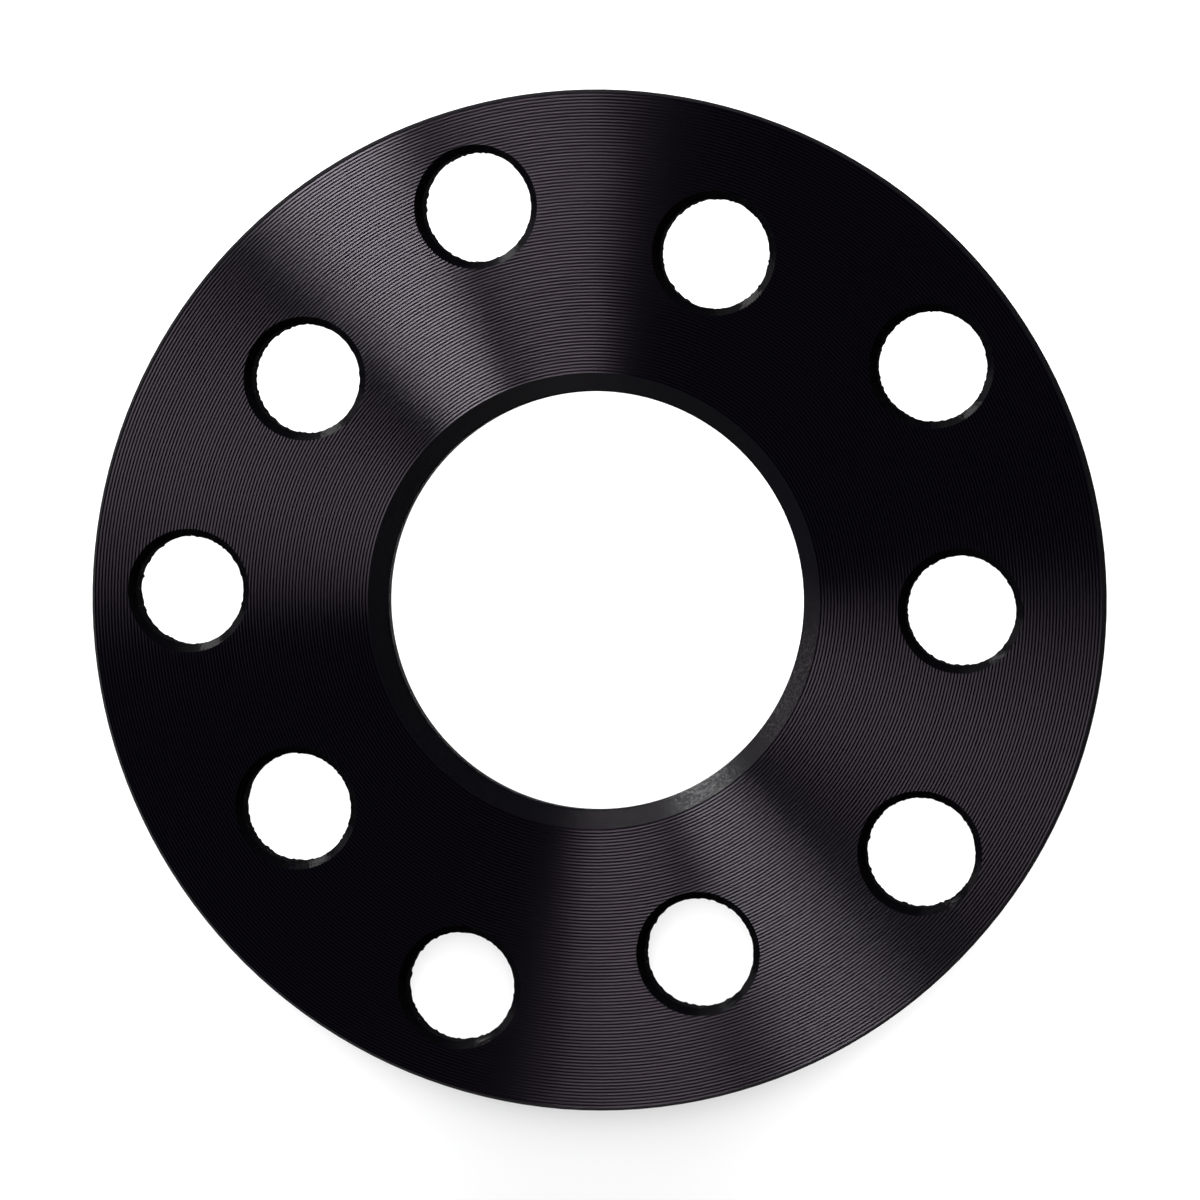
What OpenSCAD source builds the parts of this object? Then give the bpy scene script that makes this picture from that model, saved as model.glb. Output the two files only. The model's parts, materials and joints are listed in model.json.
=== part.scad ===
// Flat slip-on wheel spacer: one disc turned from aluminium plate, drilled and black anodised.
// It lies on its wheel face, with the origin at the centre of that face and Z out of the hub face.

/* [Disc] */
// Outside diameter of the disc
disc_d = 139; // [132:0.5:170]
// Thickness of the disc, which is how far it moves the wheel outwards
disc_t = 5; // [3:0.5:20]
// Width of the broken edge at the rim, the same on both faces
rim_edge = 0.4; // [0.2:0.1:1]

/* [Centre bore] */
// Diameter of the bore, which slips over the spigot of the hub
bore_d = 57.1; // [50:0.1:75]
// Width of the chamfer on the hub face, which clears the fillet at the foot of the spigot
bore_chamfer = 2.5; // [0.5:0.1:4]
// Width of the broken edge of the bore on the wheel face
bore_edge = 0.3; // [0.1:0.1:0.8]

/* [Bolt holes] */
// Diameter of the large bolt circle
large_circle_d = 112; // [108:0.1:120]
// Diameter of the small bolt circle
small_circle_d = 100; // [92:0.1:106]
// Number of holes on each bolt circle
circle_holes = 5; // [4:1:8]
// Diameter of each bolt hole, a clearance for the shank of a wheel bolt
hole_d = 15; // [12:0.1:17]
// Width of the chamfer of each hole on the hub face
hole_chamfer = 1; // [0.3:0.1:1.2]
// Width of the broken edge of each hole on the wheel face
hole_edge = 0.3; // [0.1:0.1:0.8]

/* [Hidden] */
$fn = 180;
disc_r = disc_d / 2;
bore_r = bore_d / 2;
hole_r = hole_d / 2;
// Angle between neighbouring holes of one circle
hole_step = 360 / circle_holes;
// The first hole of the large circle lies on the Y axis, and the small circle's holes lie midway between
large_start = 90;
small_start = large_start + hole_step / 2;
// How far a cutter stands out of the disc at each face
overcut = 1;
anodised_black = [0.09, 0.09, 0.1];

// Half section of the turned ring, with the radius along X and the height along Y
module ring_section() {
    polygon([
        [bore_r + bore_edge, 0],
        [disc_r - rim_edge, 0],
        [disc_r, rim_edge],
        [disc_r, disc_t - rim_edge],
        [disc_r - rim_edge, disc_t],
        [bore_r + bore_chamfer, disc_t],
        [bore_r, disc_t - bore_chamfer],
        [bore_r, bore_edge]
    ]);
}

// Drill and countersink in one cutter: its 45 degree flanks leave the chamfer and the broken edge
module bolt_hole() {
    rotate_extrude()
        polygon([
            [0, -overcut],
            [hole_r + hole_edge + overcut, -overcut],
            [hole_r, hole_edge],
            [hole_r, disc_t - hole_chamfer],
            [hole_r + hole_chamfer + overcut, disc_t + overcut],
            [0, disc_t + overcut]
        ]);
}

// One evenly divided circle of bolt holes
module bolt_circle(circle_d, start) {
    for (k = [0 : circle_holes - 1])
        rotate(start + k * hole_step)
            translate([circle_d / 2, 0, 0])
                bolt_hole();
}

module spacer_disc() {
    color(anodised_black)
        difference() {
            rotate_extrude()
                ring_section();
            bolt_circle(large_circle_d, large_start);
            bolt_circle(small_circle_d, small_start);
        }
}

spacer_disc();
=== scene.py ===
# %% [markdown]
# # A turned and black anodised wheel spacer
#
# The object is one flat ring of aluminium plate. A lathe turned its faces, bore and rim, a drill made two
# alternating circles of bolt holes, and the whole piece was then dyed black in an anodising bath.
# Almost all of its looks come from the lathe: the tool leaves fine rings, and the sides of each ring are
# narrow mirrors. Lamps then show as bright fans that start at the centre, with deep black between them.
# So this lesson cuts real rings into the mesh, and puts the lamps where the fans need them.

# %% Load the fixed frame
import json
import math

import bpy
import numpy as np
from mathutils import Matrix, Vector


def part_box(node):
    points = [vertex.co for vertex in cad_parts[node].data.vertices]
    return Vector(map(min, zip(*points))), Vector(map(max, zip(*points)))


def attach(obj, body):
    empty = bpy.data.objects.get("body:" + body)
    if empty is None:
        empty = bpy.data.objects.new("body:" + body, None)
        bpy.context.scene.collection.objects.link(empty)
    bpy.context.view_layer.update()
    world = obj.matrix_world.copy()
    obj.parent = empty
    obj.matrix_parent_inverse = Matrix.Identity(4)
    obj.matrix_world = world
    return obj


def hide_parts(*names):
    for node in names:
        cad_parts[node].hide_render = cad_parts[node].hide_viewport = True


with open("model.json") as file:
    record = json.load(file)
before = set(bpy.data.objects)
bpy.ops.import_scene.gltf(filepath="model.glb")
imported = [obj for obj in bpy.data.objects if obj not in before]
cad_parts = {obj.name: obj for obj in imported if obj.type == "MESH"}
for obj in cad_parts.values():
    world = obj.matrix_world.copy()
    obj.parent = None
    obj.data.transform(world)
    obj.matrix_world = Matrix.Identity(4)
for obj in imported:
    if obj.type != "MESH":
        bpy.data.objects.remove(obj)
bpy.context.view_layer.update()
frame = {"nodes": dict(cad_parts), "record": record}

MM = 0.001

# %% [markdown]
# ## Read the sizes off the frame
#
# Every size of the ring is already in the frame. The record gives the bore and the bolt circles, and the
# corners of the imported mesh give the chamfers, because its points lie exactly on the turned edges.
# Reading them here, instead of typing them again, keeps the shown ring on the measured one.

# %% Measure the ring
NODE = "spacer_disc"
ON_SURFACE = 0.01 * MM
record = frame["record"]
mounts = {mount["name"]: mount for mount in record["mounts"]}
low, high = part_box(NODE)
bottom, top = low.z, high.z
thickness = top - bottom
corners = np.array([vertex.co for vertex in frame["nodes"][NODE].data.vertices])
corner_radius = np.hypot(corners[:, 0], corners[:, 1])
on_face = corners[:, 2] > top - ON_SURFACE
on_back = corners[:, 2] < bottom + ON_SURFACE

disc_r = float(corner_radius.max())
face_outer_r = float(corner_radius[on_face].max())
face_inner_r = float(corner_radius[on_face].min())
back_outer_r = float(corner_radius[on_back].max())
back_inner_r = float(corner_radius[on_back].min())
bore_r = mounts["hub_bore"]["dims"]["r_mm"] * MM
bore_chamfer = face_inner_r - bore_r
bore_edge = back_inner_r - bore_r
rim_edge = disc_r - face_outer_r
print(f"disc {2 * disc_r / MM:.2f} mm, bore {2 * bore_r / MM:.2f} mm, thickness {thickness / MM:.2f} mm")
print(f"bore chamfer {bore_chamfer / MM:.2f} mm, bore edge {bore_edge / MM:.2f} mm")
print(f"rim edge {rim_edge / MM:.2f} mm")

# %% Measure the bolt holes
hole_boxes = {box["name"]: np.array(box["box_m"]) for box in record["physics"]["openings"]}
hole_r = mounts["large_bolt_circle"]["dims"]["hole_r_mm"] * MM
circle_holes = mounts["large_bolt_circle"]["dims"]["count"]
bolt_circles = {}
for circle in ("large", "small"):
    centre = hole_boxes[f"{circle}_circle_hole_1"].mean(axis=0)
    circle_r = mounts[f"{circle}_bolt_circle"]["dims"]["pcd_mm"] * MM / 2
    start = math.atan2(centre[1], centre[0])
    bolt_circles[circle] = {"radius": circle_r, "start": start}
    print(f"{circle} circle {2 * circle_r / MM:.1f} mm from {math.degrees(start):.1f} degrees")
first_hole = hole_boxes["large_circle_hole_1"].mean(axis=0)
from_hole = np.hypot(corners[:, 0] - first_hole[0], corners[:, 1] - first_hole[1])
hole_chamfer = from_hole[on_face].min() - hole_r
hole_edge = from_hole[on_back].min() - hole_r
print(f"bolt holes {2 * hole_r / MM:.2f} mm")
print(f"hole chamfer {hole_chamfer / MM:.2f} mm, hole edge {hole_edge / MM:.2f} mm")

# %% [markdown]
# ## Set the camera first
#
# A long lens looks almost straight down on the ring from a little to the right. Its place was solved from
# the two bolt circles and the thickness, so it is written as real sizes: a distance, a lean away from the
# ring's axis and the side it leans to. The photographed ring was also turned about its axis, so one angle
# takes directions in the picture to directions in the frame.

# %% Camera
PICTURE_PX = 1200
PICTURE_TURN = math.radians(16.74)
CAMERA_DISTANCE = 0.8654
CAMERA_LEAN = math.radians(7.98)
CAMERA_SIDE = math.radians(14.13)
FOCAL_PX = 6366
AIM_RIGHT, AIM_UP = 0.97 * MM, 0.19 * MM
face_centre = Vector((0, 0, top))


def picture_direction(lean, side):
    """Unit vector that leans from the ring's axis to a side of the picture, anticlockwise from its right."""
    turn = side - PICTURE_TURN
    return Vector((math.sin(lean) * math.cos(turn), math.sin(lean) * math.sin(turn), math.cos(lean)))


def place(obj, location, right, up):
    """Stands an object at a point, with its X to the right and its Y upwards."""
    columns = Matrix((right, up, right.cross(up))).transposed()
    obj.matrix_world = Matrix.Translation(location) @ columns.to_4x4()
    bpy.context.scene.collection.objects.link(obj)


picture_right = picture_direction(math.pi / 2, 0)
picture_up = picture_direction(math.pi / 2, math.pi / 2)
camera = bpy.data.objects.new("camera", bpy.data.cameras.new("camera"))
camera.data.lens = camera.data.sensor_width * FOCAL_PX / PICTURE_PX
camera_place = face_centre + CAMERA_DISTANCE * picture_direction(CAMERA_LEAN, CAMERA_SIDE)
aim = face_centre + AIM_RIGHT * picture_right + AIM_UP * picture_up
camera_back = (camera_place - aim).normalized()
camera_right = picture_up.cross(camera_back).normalized()
place(camera, camera_place, camera_right, camera_back.cross(camera_right))
bpy.context.scene.camera = camera
print(f"lens {camera.data.lens:.1f} mm at {[round(v, 3) for v in camera_place]}")

# %% [markdown]
# ## Small helpers
#
# Colours are written as the hex values that a picture shows, and one function turns them to the linear
# values that shaders work in. One more function adds a node, gives it its settings and links its inputs,
# so a tree reads from top to bottom like a recipe.


# %% Helpers for colours and nodes
# A point times this loses its height
FLAT = (1, 1, 0)


def linear(hex_colour):
    """Linear red, green, blue and alpha of an sRGB hex colour."""
    shown = [int(hex_colour[i:i + 2], 16) / 255 for i in (1, 3, 5)]
    return (*(c / 12.92 if c <= 0.04045 else ((c + 0.055) / 1.055) ** 2.4 for c in shown), 1.0)


def add_node(tree, kind, inputs=None, **settings):
    """Adds a node with its settings. Each input is a value, or an output, node or list of them to link."""
    node = tree.nodes.new(kind)
    for name, value in settings.items():
        setattr(node, name, value)
    for name, value in (inputs or {}).items():
        named = [s for s in node.inputs if s.enabled and s.name == name]
        socket = named[0] if named else node.inputs[name]
        for source in value if isinstance(value, list) else [value]:
            if isinstance(source, bpy.types.Node):
                source = next(s for s in source.outputs if s.enabled)
            if isinstance(source, bpy.types.NodeSocket):
                tree.links.new(source, socket)
            else:
                socket.default_value = source
    return node


def new_material(name):
    """A material with an empty node tree."""
    material = bpy.data.materials.new(name)
    material.use_nodes = True
    material.node_tree.nodes.clear()
    return material


# %% [markdown]
# ## Black anodised aluminium
#
# Anodising grows a thin glassy oxide on the metal, and the dye in it swallows nearly all light. What is
# left is a clear gloss on top of black. It is not a mirror metal to the eye, so every finish here is a dark
# dielectric. The finishes differ in what the tool left under the oxide, so one function makes the dyed
# oxide and takes the tool's marks as a pattern from 0 to 1.
# The gloss has a cast: the oxide is thin enough to tint it violet on the face, and less on other cuts.
# The dye is a little uneven over a few centimetres. Small specks lie on some cells of a pattern: on most
# finishes they are dust, and in a torn hole they are torn flakes whose pale colour is a painted glint.

# %% The dyed oxide
OXIDE_IOR = 1.5
CLOUD_MM = 18
MARKS_FROM, MARKS_TO = 0.3, 0.7
VIOLET, NEUTRAL = "#FFECFF", "#FFF6FA"
DUST = {"cell_mm": 3.0, "size": 0.03, "share": 0.35, "colour": "#343236"}
# Torn flakes of the drilled wall: their pale colour is a painted glint of the floor's light
FLAKES_AND_PAINTED_GLINTS = {"cell_mm": 0.4, "size": 0.4, "share": 0.12, "colour": "#565250"}


def black_anodised(name, marks_of, dye, roughness, gloss, depth_mm, combed=0.0, cast=NEUTRAL, dust_and_glints=DUST):
    """Dyed oxide over the marks that marks_of(tree, point) draws, with a gloss of 0.5 for bare oxide.
    A combed finish is rougher across the rings of the disc than along them."""
    material = new_material(name)
    tree = material.node_tree
    point = add_node(tree, "ShaderNodeTexCoord").outputs["Object"]
    marks = marks_of(tree, point)
    cloud = add_node(tree, "ShaderNodeTexNoise",
                     {"Vector": point, "Scale": 1 / (CLOUD_MM * MM), "Detail": 2.0})
    uneven = add_node(tree, "ShaderNodeMix", {"Factor": cloud, "A": linear(dye[0]), "B": linear(dye[1])},
                      data_type="RGBA")
    # Specks: real dust on most finishes, and painted glints of torn flakes on the drilled wall
    cells = add_node(tree, "ShaderNodeTexVoronoi", {"Vector": point, "Scale": 1 / (dust_and_glints["cell_mm"] * MM)})
    chosen = add_node(tree, "ShaderNodeMath", {0: cells.outputs["Color"], 1: dust_and_glints["share"]},
                      operation="LESS_THAN")
    near = add_node(tree, "ShaderNodeMath", {0: cells.outputs["Distance"], 1: dust_and_glints["size"]},
                    operation="LESS_THAN")
    dust_and_glint_mask = add_node(tree, "ShaderNodeMath", {0: chosen, 1: near}, operation="MULTIPLY")
    colour = add_node(tree, "ShaderNodeMix", {"Factor": dust_and_glint_mask, "A": uneven, "B": linear(dust_and_glints["colour"])},
                      data_type="RGBA")
    rough = add_node(tree, "ShaderNodeMapRange",
                     {"Value": marks, "From Min": MARKS_FROM, "From Max": MARKS_TO,
                      "To Min": roughness[0], "To Max": roughness[1]})
    bump = add_node(tree, "ShaderNodeBump", {"Height": marks, "Distance": depth_mm * MM})
    outward = add_node(tree, "ShaderNodeVectorMath", {0: point, 1: FLAT}, operation="MULTIPLY")
    shader = add_node(tree, "ShaderNodeBsdfPrincipled",
                      {"Base Color": colour, "Roughness": rough, "IOR": OXIDE_IOR, "Normal": bump,
                       "Specular IOR Level": gloss, "Specular Tint": linear(cast),
                       "Anisotropic": combed, "Tangent": outward})
    add_node(tree, "ShaderNodeOutputMaterial", {"Surface": shader})
    print("finish:", name)
    return material


# %% [markdown]
# ## Turned finish
#
# The rings spread light across themselves and not along themselves. The rings that can be seen are in the
# mesh. Much finer scratches lie between them, and those are left to the shader: the finish is combed, rough
# across the rings and smooth along them, so a fan of light has soft ends and crisp sides.
# Each ring was cut with a little more or less chatter, so the roughness is a noise of the distance from the
# axis.

# %% Turned finish
RING_CHANGE_MM = 0.8
BLACK_DYE = ("#020106", "#030209")


def ring_marks(tree, point):
    """Noise that changes from ring to ring."""
    flat = add_node(tree, "ShaderNodeVectorMath", {0: point, 1: FLAT}, operation="MULTIPLY")
    radius = add_node(tree, "ShaderNodeVectorMath", {0: flat}, operation="LENGTH")
    return add_node(tree, "ShaderNodeTexNoise",
                    {"W": radius, "Scale": 1 / (RING_CHANGE_MM * MM), "Detail": 3.0}, noise_dimensions="1D")


turned = black_anodised("turned black anodised aluminium", ring_marks, BLACK_DYE,
                        roughness=(0.278, 0.29), gloss=0.5, depth_mm=0.0, combed=1.0, cast=VIOLET)

# %% [markdown]
# ## Bored and chamfered finishes
#
# The bore and the rim were cut with a finer feed and are a plain satin with a grain of chatter. The chamfer
# of the bore was turned like the face, so it is combed too, and it glitters where a lamp meets the grain.
# The real grain is finer than a pixel of the picture, so it is drawn as coarse as it needs to be to show.

# %% Bored and chamfered finishes
GRAIN_MM = 0.4


def chatter_grain(tree, point):
    """A fine even grain."""
    return add_node(tree, "ShaderNodeTexNoise",
                    {"Vector": point, "Scale": 1 / (GRAIN_MM * MM), "Detail": 2.0})


bored = black_anodised("bored black anodised aluminium", chatter_grain, BLACK_DYE,
                       roughness=(0.14, 0.24), gloss=0.1, depth_mm=0.006)
chamfered = black_anodised("chamfered black anodised aluminium", chatter_grain, BLACK_DYE,
                           roughness=(0.278, 0.5), gloss=0.35, depth_mm=0.012, combed=1.0)

# %% [markdown]
# ## Countersunk and drilled finishes
#
# The bolt holes carry the marks of the drill and of the countersink: bands at right angles to the hole, with
# chatter across them. On a wall or a 45 degree flank a band in height is a ring round the hole, so bands
# along Z suit every hole. A smooth flank would mirror the white floor, but the real one is dark. Its bands
# are steps that lie flatter than the flank and face the dark room, and it has little gloss left.
# The drilled wall is so torn that it has no gloss. Its dull dark grey is partly the torn metal's tone and
# partly a painted reflection of the floor, and its pale flakes are painted glints.

# %% Countersunk and drilled finishes
WORN_DYE = ("#070609", "#0D0C0F")
# The drilled wall's grey, lighter than the other dyes: partly its tone and partly a painted reflection of the
# floor
TORN_DYE_AND_PAINTED_SHEEN = ("#100F11", "#1E1C1F")
FEED_MARK_MM = 0.3
CHATTER_MM = 0.9
# A wave texture of scale 1 has this many bands in one unit
BANDS_PER_UNIT = 20 / (2 * math.pi)
feed_mark_scale = 1 / (FEED_MARK_MM * MM * BANDS_PER_UNIT)


def countersink_steps(tree, point):
    """Steps round a hole whose treads lie flatter than the flank."""
    ramp = add_node(tree, "ShaderNodeTexWave",
                    {"Vector": point, "Scale": feed_mark_scale, "Distortion": 1.0, "Detail": 2.0},
                    bands_direction="Z", wave_profile="SAW")
    return add_node(tree, "ShaderNodeMath", {0: 1.0, 1: ramp.outputs["Fac"]}, operation="SUBTRACT")


def drill_marks(tree, point):
    """Bands round a hole, broken by chatter."""
    bands = add_node(tree, "ShaderNodeTexWave",
                     {"Vector": point, "Scale": feed_mark_scale, "Distortion": 2.0, "Detail": 2.0},
                     bands_direction="Z")
    chatter = add_node(tree, "ShaderNodeTexNoise",
                       {"Vector": point, "Scale": 1 / (CHATTER_MM * MM), "Detail": 3.0})
    return add_node(tree, "ShaderNodeMath", {0: bands.outputs["Fac"], 1: chatter}, operation="MULTIPLY")


countersunk = black_anodised("countersunk black anodised aluminium", countersink_steps, WORN_DYE,
                             roughness=(0.12, 0.2), gloss=0.03, depth_mm=0.146)
# Drilled wall: no gloss, a painted reflection in its grey and painted glints in its flakes
drilled = black_anodised("drilled black anodised aluminium", drill_marks, TORN_DYE_AND_PAINTED_SHEEN,
                         roughness=(0.5, 0.7), gloss=0.0, depth_mm=0.08, dust_and_glints=FLAKES_AND_PAINTED_GLINTS)

# %% [markdown]
# ## The half section, with the tool's rings cut into it
#
# On the lathe the tool moves a small step at each turn and leaves one groove per step. This tool was
# pointed, so a groove is a V with two flat sides. At most places one side shows a lamp and the other does
# not, and that draws the fine lines of the face. A bump in the finish could draw them too, but only real
# grooves are still there in the plain mesh, so they are points of the half section.
# The real step of the face is about 0.26 mm, which is too fine for the picture's pixels, and it is drawn as
# coarse as it needs to be to show. The chamfer is cut in steps: a riser that stands nearly upright, and a
# tread that lies much flatter than 45 degrees and shows the lamps. The grooves of the bore and of the rim
# are steep, and on the bore a narrow land is left between two of them.


# %% Rings on a straight cut
def turned_cut(start, end, step, side, valley=0.5, land=0.0):
    """Points of a straight cut from start to just before end, with a land and a groove for each step.
    The first side of a groove dips by the angle given, down to a valley at that share of the groove."""
    start, end = np.array(start), np.array(end)
    along = end - start
    grooves = max(1, round(np.linalg.norm(along) / step))
    advance = along / grooves
    into_metal = np.array([-advance[1], advance[0]])
    width = 1 - land
    depth = width * valley * math.tan(side)
    points = []
    for k in range(grooves):
        if land:
            points.append(start + k * advance)
        points.append(start + (k + land) * advance)
        points.append(start + (k + land + width * valley) * advance + depth * into_metal)
    return points


# %% Close the half section
FACE_STEP, FACE_SIDE = 0.44 * MM, math.radians(17.99)
BACK_STEP, BACK_SIDE = 1.8 * MM, math.radians(6.07)
CHAMFER_STEP, CHAMFER_RISER, CHAMFER_VALLEY = 0.2 * MM, math.radians(43.83), 0.25
WALL_STEP, WALL_SIDE, BORE_LAND = 0.21 * MM, math.radians(44.46), 0.1
chamfer_foot = (bore_r, top - bore_chamfer)
bore_foot = (bore_r, bottom + bore_edge)
rim_foot = (disc_r, bottom + rim_edge)
rim_head = (disc_r, top - rim_edge)
section = turned_cut((back_inner_r, bottom), (back_outer_r, bottom), BACK_STEP, BACK_SIDE)
section += [(back_outer_r, bottom)]
section += turned_cut(rim_foot, rim_head, WALL_STEP, WALL_SIDE)
section += [rim_head]
section += turned_cut((face_outer_r, top), (face_inner_r, top), FACE_STEP, FACE_SIDE)
section += turned_cut((face_inner_r, top), chamfer_foot, CHAMFER_STEP, CHAMFER_RISER, CHAMFER_VALLEY)
section += turned_cut(chamfer_foot, bore_foot, WALL_STEP, WALL_SIDE, land=BORE_LAND)
section += [bore_foot]
# A curve is swept with its Y downwards, so the section is drawn upside down and from its other end
section_mesh = bpy.data.meshes.new("half_section")
loop = [(i, (i + 1) % len(section)) for i in range(len(section))]
section_mesh.from_pydata([(r - bore_r, -z, 0) for r, z in reversed(section)], loop, [])
disc = bpy.data.objects.new("turned_disc", section_mesh)
bpy.context.scene.collection.objects.link(disc)
print(f"half section with {len(section)} points")

# %% [markdown]
# ## Turn the section and drill the holes
#
# The ring could be spun in mesh code, but a node tree shows the order of the workshop. The section is swept
# round a circle, a drill and two countersinks are set out on each bolt circle, and one Boolean takes them
# all away. The drill tore the edges of each hole and left teeth there, so one ring of points near each end
# of the drill moves inwards by a noise that differs from hole to hole. One small nick at the rim is a cut
# too. At the end every outward edge is creased, crests included, and so is every sharp valley.

# %% The tree's inputs
TURN_STEPS = 160
TOOTH_HEIGHT = 0.9 * MM
tree = bpy.data.node_groups.new("turn_and_drill", "GeometryNodeTree")
tree.interface.new_socket(name="Geometry", in_out="OUTPUT", socket_type="NodeSocketGeometry")
tree.interface.new_socket(name="Half Section", in_out="INPUT", socket_type="NodeSocketGeometry")
tree_values = {
    "Bore Radius": ("NodeSocketFloat", bore_r),
    "Turn Steps": ("NodeSocketInt", TURN_STEPS),
    "Hole Radius": ("NodeSocketFloat", hole_r),
    "Hole Chamfer": ("NodeSocketFloat", hole_chamfer),
    "Hole Edge": ("NodeSocketFloat", hole_edge),
    "Holes On Circle": ("NodeSocketInt", circle_holes),
    "Tooth Height": ("NodeSocketFloat", TOOTH_HEIGHT),
    "Turned Finish": ("NodeSocketMaterial", turned),
    "Bored Finish": ("NodeSocketMaterial", bored),
    "Chamfered Finish": ("NodeSocketMaterial", chamfered),
    "Countersunk Finish": ("NodeSocketMaterial", countersunk),
    "Drilled Finish": ("NodeSocketMaterial", drilled),
}
for name, (kind, _) in tree_values.items():
    tree.interface.new_socket(name=name, in_out="INPUT", socket_type=kind)
group_in = add_node(tree, "NodeGroupInput").outputs
print("tree inputs:", ", ".join(tree_values))

# %% Sweep the section
CUT_BY = "cut_by"
TURNED, DRILLED, COUNTERSUNK = 0, 1, 2


def marked(geometry, cut_by):
    """The geometry with a number on each face that says which tool cuts it."""
    return add_node(tree, "GeometryNodeStoreNamedAttribute",
                    {"Geometry": geometry, "Name": CUT_BY, "Value": cut_by}, data_type="INT", domain="FACE")


section_curve = add_node(tree, "GeometryNodeMeshToCurve", {"Mesh": group_in["Half Section"]})
rail = add_node(tree, "GeometryNodeCurvePrimitiveCircle",
                {"Resolution": group_in["Turn Steps"], "Radius": group_in["Bore Radius"]})
sweep = add_node(tree, "GeometryNodeCurveToMesh", {"Curve": rail, "Profile Curve": section_curve})
swept = marked(sweep, TURNED)
print(f"{len(section) * TURN_STEPS} points before drilling")

# %% Drill and countersinks
HOLE_STEPS = 128
DRILL_RINGS = 5
OVERCUT = 1 * MM
middle = (top + bottom) / 2


def countersink(width, level, turned_over):
    """A 45 degree cone with its flank through the edge of the hole and its wide end outside the ring."""
    reach = add_node(tree, "ShaderNodeMath", {0: width, 1: OVERCUT}, operation="ADD")
    wide_r = add_node(tree, "ShaderNodeMath", {0: reach, 1: group_in["Hole Radius"]}, operation="ADD")
    cone = add_node(tree, "GeometryNodeMeshCone",
                    {"Vertices": HOLE_STEPS, "Depth": reach,
                     "Radius Bottom": wide_r, "Radius Top": group_in["Hole Radius"]})
    outside = level + OVERCUT if turned_over else level - OVERCUT
    turn = (math.pi, 0, 0) if turned_over else (0, 0, 0)
    return add_node(tree, "GeometryNodeTransform",
                    {"Geometry": cone, "Translation": (0, 0, outside), "Rotation": turn})


drill = add_node(tree, "GeometryNodeMeshCylinder",
                 {"Vertices": HOLE_STEPS, "Side Segments": DRILL_RINGS, "Radius": group_in["Hole Radius"],
                  "Depth": thickness + 2 * OVERCUT})
drill_in_place = add_node(tree, "GeometryNodeTransform", {"Geometry": drill.outputs["Mesh"],
                                                          "Translation": (0, 0, middle)})
tools = [(drill_in_place, DRILLED),
         (countersink(group_in["Hole Chamfer"], top, True), COUNTERSUNK),
         (countersink(group_in["Hole Edge"], bottom, False), COUNTERSUNK)]
print(f"{len(tools)} tools for each hole, with {HOLE_STEPS} sides")

# %% Teeth at both edges of a hole
TOOTH_LEVEL = 0.4 * MM
TOOTH_MM = 0.55
# A tooth is the tooth height times what the noise has above this
TEAR_FROM = 0.45
point_place = add_node(tree, "GeometryNodeInputPosition").outputs["Position"]
point_height = add_node(tree, "ShaderNodeSeparateXYZ", {"Vector": point_place}).outputs["Z"]
from_middle = add_node(tree, "ShaderNodeMath", {0: point_height, 1: middle}, operation="SUBTRACT")
from_middle = add_node(tree, "ShaderNodeMath", {0: from_middle}, operation="ABSOLUTE")
at_edge = add_node(tree, "ShaderNodeMath",
                   {0: from_middle, 1: thickness / 2 - TOOTH_LEVEL, 2: TOOTH_LEVEL / 2}, operation="COMPARE")
torn = add_node(tree, "ShaderNodeTexNoise",
                {"Vector": point_place, "Scale": 1 / (TOOTH_MM * MM), "Detail": 2.0})
tooth = add_node(tree, "ShaderNodeMapRange",
                 {"Value": torn, "From Min": TEAR_FROM, "From Max": TEAR_FROM + 1,
                  "To Min": 0.0, "To Max": group_in["Tooth Height"]})
outwards = add_node(tree, "ShaderNodeVectorMath",
                    {0: add_node(tree, "GeometryNodeInputNormal"), "Scale": tooth}, operation="SCALE")
inwards = add_node(tree, "ShaderNodeVectorMath", {0: (0, 0, 0), 1: outwards}, operation="SUBTRACT")
print(f"teeth {TOOTH_LEVEL / MM:.1f} mm inside each face")

# %% Set the tools out on both bolt circles
cutters = []
for circle in bolt_circles.values():
    ring = add_node(tree, "GeometryNodeMeshCircle",
                    {"Vertices": group_in["Holes On Circle"], "Radius": circle["radius"]})
    started = add_node(tree, "GeometryNodeTransform", {"Geometry": ring, "Rotation": (0, 0, circle["start"])})
    for tool, cut_by in tools:
        spread = add_node(tree, "GeometryNodeInstanceOnPoints", {"Points": started, "Instance": tool})
        solid = add_node(tree, "GeometryNodeRealizeInstances", {"Geometry": spread})
        if cut_by == DRILLED:
            solid = add_node(tree, "GeometryNodeSetPosition",
                             {"Geometry": solid, "Selection": at_edge, "Offset": inwards})
        cutters.append(marked(solid, cut_by))
print(f"{len(cutters)} sets of tools on {len(bolt_circles)} circles")

# %% The nick at the rim
NICK_SIDE = math.radians(232.2)
NICK_R = 0.35 * MM
nick_place = face_centre + disc_r * picture_direction(math.pi / 2, NICK_SIDE)
nick = add_node(tree, "GeometryNodeMeshIcoSphere", {"Radius": NICK_R, "Subdivisions": 2})
nick_at_rim = add_node(tree, "GeometryNodeTransform", {"Geometry": nick, "Translation": nick_place})
cutters.append(marked(nick_at_rim, DRILLED))
print(f"{len(cutters)} groups of cutters")

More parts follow.
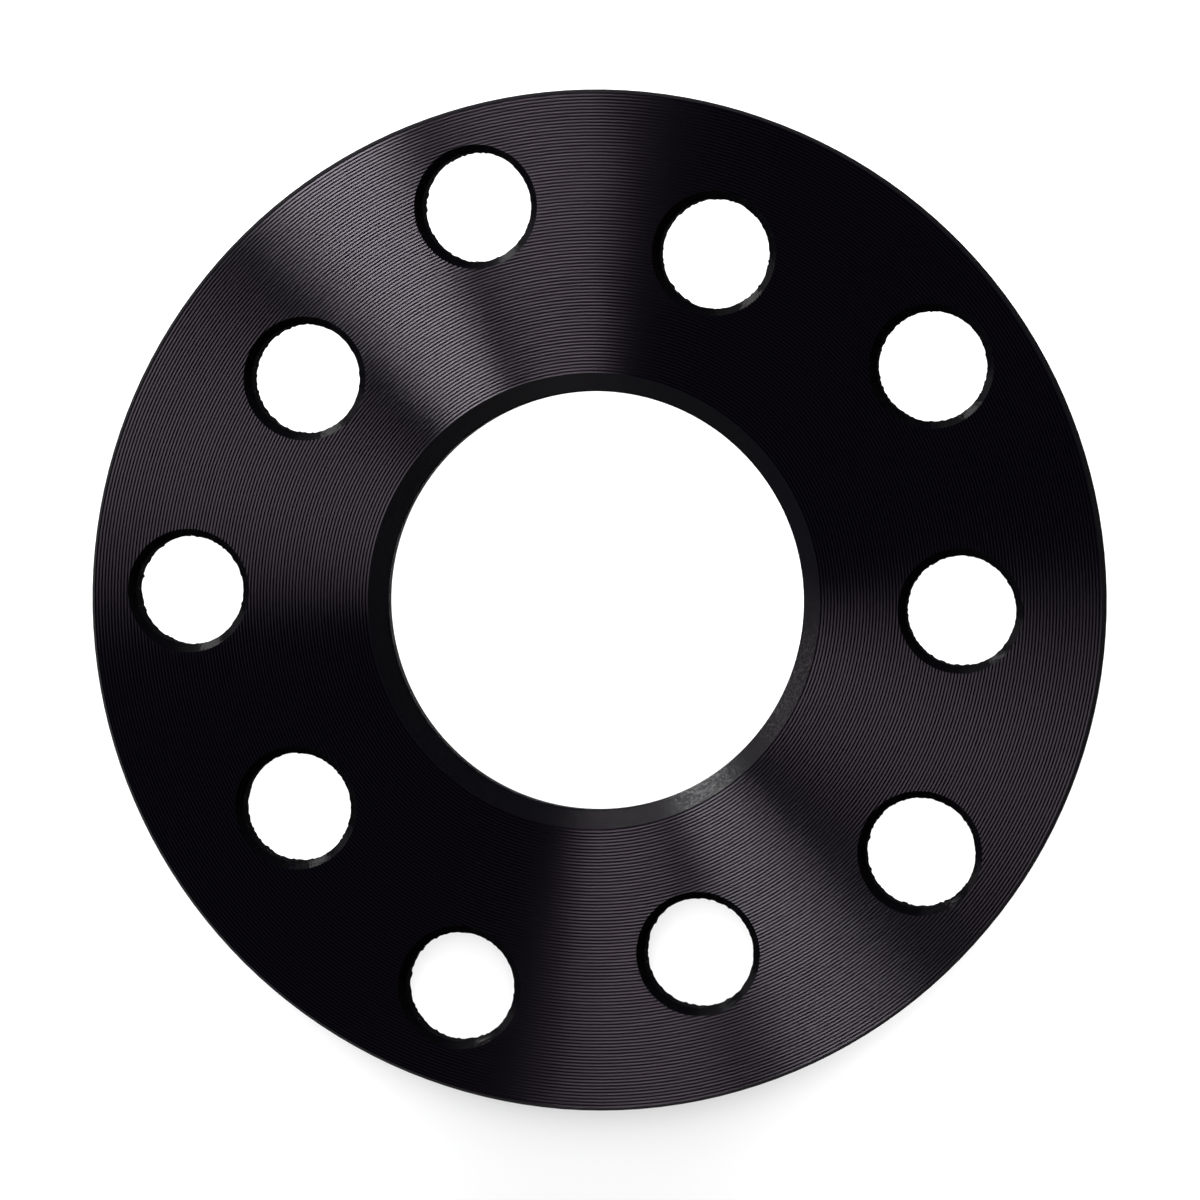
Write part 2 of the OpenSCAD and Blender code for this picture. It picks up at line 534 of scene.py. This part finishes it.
# %% Cut and crease
MERGE_WITHIN = 0.002 * MM
CREASE_FROM = math.radians(8)
SHARP_VALLEY = math.radians(30)
cut = add_node(tree, "GeometryNodeMeshBoolean", {"Mesh 1": swept, "Mesh 2": cutters},
               operation="DIFFERENCE", solver="MANIFOLD")
merged = add_node(tree, "GeometryNodeMergeByDistance", {"Geometry": cut, "Distance": MERGE_WITHIN})
smooth = add_node(tree, "GeometryNodeSetShadeSmooth",
                  {"Geometry": merged, "Shade Smooth": True}, domain="FACE")
edge_angle = add_node(tree, "GeometryNodeInputMeshEdgeAngle").outputs["Signed Angle"]
crests = add_node(tree, "FunctionNodeCompare", {0: edge_angle, 1: CREASE_FROM}, operation="GREATER_THAN")
valleys = add_node(tree, "FunctionNodeCompare", {0: edge_angle, 1: -SHARP_VALLEY}, operation="LESS_THAN")
sharp = add_node(tree, "FunctionNodeBooleanMath", {0: crests, 1: valleys}, operation="OR")
creased = add_node(tree, "GeometryNodeSetShadeSmooth",
                   {"Geometry": smooth, "Selection": sharp, "Shade Smooth": False}, domain="EDGE")
print(f"creases from {math.degrees(CREASE_FROM):.0f} degrees")
print(f"creases in valleys from {math.degrees(SHARP_VALLEY):.0f} degrees")

# %% Give each surface its finish
BORED_WITHIN = 0.1 * MM
flat_place = add_node(tree, "ShaderNodeVectorMath", {0: point_place, 1: FLAT}, operation="MULTIPLY")
from_axis = add_node(tree, "ShaderNodeVectorMath", {0: flat_place}, operation="LENGTH")
in_bore = add_node(tree, "FunctionNodeCompare", {0: from_axis, 1: bore_r + BORED_WITHIN},
                   operation="LESS_THAN")
in_chamfer = add_node(tree, "FunctionNodeCompare", {0: from_axis, 1: face_inner_r}, operation="LESS_THAN")
at_rim = add_node(tree, "FunctionNodeCompare", {0: from_axis, 1: face_outer_r}, operation="GREATER_THAN")
was_bored = add_node(tree, "FunctionNodeBooleanMath", {0: in_bore, 1: at_rim}, operation="OR")
mark = add_node(tree, "GeometryNodeInputNamedAttribute", {"Name": CUT_BY}, data_type="INT")
was_drilled, was_countersunk = (
    add_node(tree, "FunctionNodeCompare", {"A": mark, "B": cut_by}, data_type="INT", operation="EQUAL")
    for cut_by in (DRILLED, COUNTERSUNK))
finished = add_node(tree, "GeometryNodeRealizeInstances", {"Geometry": creased})
finishes = {"Turned": True, "Chamfered": in_chamfer, "Bored": was_bored,
            "Drilled": was_drilled, "Countersunk": was_countersunk}
for finish, where in finishes.items():
    finished = add_node(tree, "GeometryNodeSetMaterial", {"Geometry": finished, "Selection": where,
                                                          "Material": group_in[f"{finish} Finish"]})
add_node(tree, "NodeGroupOutput", {"Geometry": finished})
print(f"tree with {len(tree.nodes)} nodes")

# %% Make it a plain mesh
modifier = disc.modifiers.new("turn and drill", "NODES")
modifier.node_group = tree
for item in tree.interface.items_tree:
    if item.name in tree_values:
        modifier[item.identifier] = tree_values[item.name][1]
evaluated = disc.evaluated_get(bpy.context.evaluated_depsgraph_get())
plain = bpy.data.meshes.new_from_object(evaluated)
disc.modifiers.remove(modifier)
disc.data = plain
plain.name = "turned_disc"
# The cutters come with an empty slot, which stays in front of the finishes
if plain.materials[0] is None:
    plain.materials.pop(index=0)
triangles = sum(len(face.vertices) - 2 for face in plain.polygons)
print(f"turned disc: {len(plain.vertices)} points, {triangles} triangles")
print("finishes:", ", ".join(material.name for material in plain.materials))

# %% Stand it for the frame's disc
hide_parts(NODE)
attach(disc, "root")
print(disc.name, "stands for", NODE)

# %% [markdown]
# ## Floor
#
# A plain white floor, wide enough to fill every view. The camera has to see it as white paper, so part of
# its brightness is its own for rays that come from the camera or from a gloss, and the rest is the lamps'
# light, which keeps the soft shadow. The lamps stand near the ring, so further out the paper's own
# brightness rises to full white. The camera alone also sees painted light on the floor: a lift that starts a
# little way from the bottom of the ring and paints out the shadow everywhere but just below the ring.

# %% Floor
FLOOR_HALF = 6.0
FLOOR_DROP = 0.05 * MM
floor_level = bottom - FLOOR_DROP
floor_mesh = bpy.data.meshes.new("floor")
corner_signs = ((-1, -1), (1, -1), (1, 1), (-1, 1))
floor_corners = [(x * FLOOR_HALF, y * FLOOR_HALF, floor_level) for x, y in corner_signs]
floor_mesh.from_pydata(floor_corners, [], [(0, 1, 2, 3)])
floor = bpy.data.objects.new("floor", floor_mesh)
bpy.context.scene.collection.objects.link(floor)
print(f"floor {2 * FLOOR_HALF:.0f} m wide")

# %% Matt white paper
PAPER_GREY = "#E0E0E0"
GLOW_NEAR, GLOW_FAR = 0.16, 1.0
GLOW_FROM, GLOW_TO = 0.12, 0.35
# Painted light: a brightening that only the camera sees, which hides the shadow except just below the ring
PAINTED_LIFT, PAINTED_LIFT_FROM, PAINTED_LIFT_TO = 0.25, 0.01, 0.06
shadow_place = disc_r * picture_direction(math.pi / 2, -math.pi / 2)
paper = new_material("matt white paper")
paper_tree = paper.node_tree
seen = add_node(paper_tree, "ShaderNodeLightPath").outputs
seen_by = seen["Is Camera Ray"]
for ray in ("Is Glossy Ray", "Is Transmission Ray"):
    seen_by = add_node(paper_tree, "ShaderNodeMath", {0: seen_by, 1: seen[ray]}, operation="ADD")
paper_point = add_node(paper_tree, "ShaderNodeTexCoord").outputs["Object"]
from_ring = add_node(paper_tree, "ShaderNodeVectorMath", {0: paper_point}, operation="LENGTH")
level = add_node(paper_tree, "ShaderNodeMapRange",
                 {"Value": from_ring, "From Min": GLOW_FROM, "From Max": GLOW_TO,
                  "To Min": GLOW_NEAR, "To Max": GLOW_FAR}, interpolation_type="SMOOTHSTEP")
glow = add_node(paper_tree, "ShaderNodeMath", {0: seen_by, 1: level}, operation="MULTIPLY")
from_shadow = add_node(paper_tree, "ShaderNodeVectorMath", {0: paper_point, 1: shadow_place},
                       operation="DISTANCE")
# The painted lift grows with the distance from the spot below the ring
painted_lift = add_node(paper_tree, "ShaderNodeMapRange",
                {"Value": from_shadow, "From Min": PAINTED_LIFT_FROM, "From Max": PAINTED_LIFT_TO,
                 "To Min": 0.0, "To Max": PAINTED_LIFT}, interpolation_type="SMOOTHSTEP")
painted_lift = add_node(paper_tree, "ShaderNodeMath", {0: painted_lift, 1: seen["Is Camera Ray"]}, operation="MULTIPLY")
glow = add_node(paper_tree, "ShaderNodeMath", {0: glow, 1: painted_lift}, operation="ADD")
matt = add_node(paper_tree, "ShaderNodeBsdfDiffuse", {"Color": linear(PAPER_GREY)})
white = add_node(paper_tree, "ShaderNodeEmission", {"Strength": glow})
both = add_node(paper_tree, "ShaderNodeAddShader", {0: matt, 1: white})
add_node(paper_tree, "ShaderNodeOutputMaterial", {"Surface": both})
floor_mesh.materials.append(paper)
print("floor finish:", paper.name)

# %% [markdown]
# ## Soft boxes
#
# A flat side of a groove sends light to the camera only where the middle direction between lamp and camera
# is square to it. So a lamp's side in the picture sets where its fan lies, its width sets the fan's width,
# and its near and far edges set which grooves show it. The top, key and left boxes give the three fans of
# the face, each with its answer on the far side of the bore. A band higher up shows in the treads of the
# chamfer, and a dim wide box lifts the lower left. These light only the ring and draw no shadow.
# Two more boxes light only the floor, and no gloss shows them: one draws the soft shadow below the ring,
# and one near the top edge keeps the paper white.

# %% What a box lights
LAMP_LEVEL = 1.25
lit_alone = {}
for lit in (disc, floor):
    lit_alone[lit.name] = bpy.data.collections.new(f"{lit.name} alone")
    lit_alone[lit.name].objects.link(lit)


def soft_box(name, lights, side, near, far, distance, half_width, radiance, roll=0.0, colour="#FFFFFF"):
    """A lamp at a side of the picture, with its near and far edges at two leans from the ring's axis.
    Angles are in degrees and sizes in metres, and it lights one object alone."""
    side, near, far, roll = (math.radians(angle) for angle in (side, near, far, roll))
    lean = (near + far) / 2
    way = picture_direction(lean, side)
    across = picture_direction(math.pi / 2, side + math.pi / 2)
    down = picture_direction(lean + math.pi / 2, side)
    right = math.cos(roll) * across + math.sin(roll) * down
    lamp = bpy.data.objects.new(f"{name}_lamp", bpy.data.lights.new(f"{name}_lamp", "AREA"))
    lamp.data.color = linear(colour)[:3]
    lamp.data.shape = "RECTANGLE"
    lamp.data.size = 2 * half_width
    lamp.data.size_y = 2 * distance * math.tan((far - near) / 2)
    lamp.data.energy = LAMP_LEVEL * math.pi * lamp.data.size * lamp.data.size_y * radiance
    lamp.data.use_shadow = False
    lamp.visible_glossy = lights == disc
    lamp.light_linking.receiver_collection = lit_alone[lights.name]
    place(lamp, face_centre + distance * way, right, way.cross(right))
    print(f"{name} lamp {lamp.data.size:.2f} by {lamp.data.size_y:.2f} m, {lamp.data.energy:.1f} W")
    return lamp


# %% Boxes for the ring and for the floor
soft_box("top", disc, side=111.0, near=33.4, far=35.2, roll=15.8, distance=0.759, half_width=0.076,
         radiance=47.0)
soft_box("key", disc, side=129.9, near=50.0, far=65.6, roll=26.2, distance=0.7, half_width=0.083,
         radiance=26.0, colour="#F8FFFD")
soft_box("left", disc, side=159.5, near=34.1, far=76.7, roll=37.4, distance=1.35, half_width=0.192,
         radiance=3.4)
soft_box("low", disc, side=224.0, near=20.0, far=70.0, distance=2.5, half_width=1.6, radiance=0.08)
soft_box("band", disc, side=109.0, near=46.0, far=58.0, distance=2.0, half_width=0.3, radiance=1.8)
shadow_lamp = soft_box("shadow", floor, side=92.0, near=5.0, far=65.0, distance=1.5, half_width=0.4,
                       radiance=2.8)
shadow_lamp.data.use_shadow = True
soft_box("fill", floor, side=90.0, near=38.0, far=66.0, distance=0.4, half_width=0.1, radiance=17.5)

# %% [markdown]
# ## Room
#
# The room is dark, so the gaps between the fans stay black. A pale strip at the height of the horizon stands
# for its walls. From above hardly any of it shows, but a low view finds it in the gloss of the face.

# %% Room and view
DARK, PALE_WALL = "#060607", "#B4B4B8"
WALL_FULL_BELOW, WALL_ENDS_AT = 0.1, 0.35
world = bpy.data.worlds.new("dark room")
world.use_nodes = True
room_tree = world.node_tree
room_tree.nodes.clear()
way_out = add_node(room_tree, "ShaderNodeTexCoord").outputs["Generated"]
height = add_node(room_tree, "ShaderNodeSeparateXYZ", {"Vector": way_out}).outputs["Z"]
steepness = add_node(room_tree, "ShaderNodeMath", {0: height}, operation="ABSOLUTE")
wall = add_node(room_tree, "ShaderNodeMapRange",
                {"Value": steepness, "From Min": WALL_FULL_BELOW, "From Max": WALL_ENDS_AT,
                 "To Min": 1.0, "To Max": 0.0}, interpolation_type="SMOOTHSTEP")
room = add_node(room_tree, "ShaderNodeMix", {"Factor": wall, "A": linear(DARK), "B": linear(PALE_WALL)},
                data_type="RGBA")
background = add_node(room_tree, "ShaderNodeBackground", {"Color": room})
add_node(room_tree, "ShaderNodeOutputWorld", {"Surface": background})
bpy.context.scene.world = world
bpy.context.scene.view_settings.view_transform = "Standard"
print("room:", world.name)
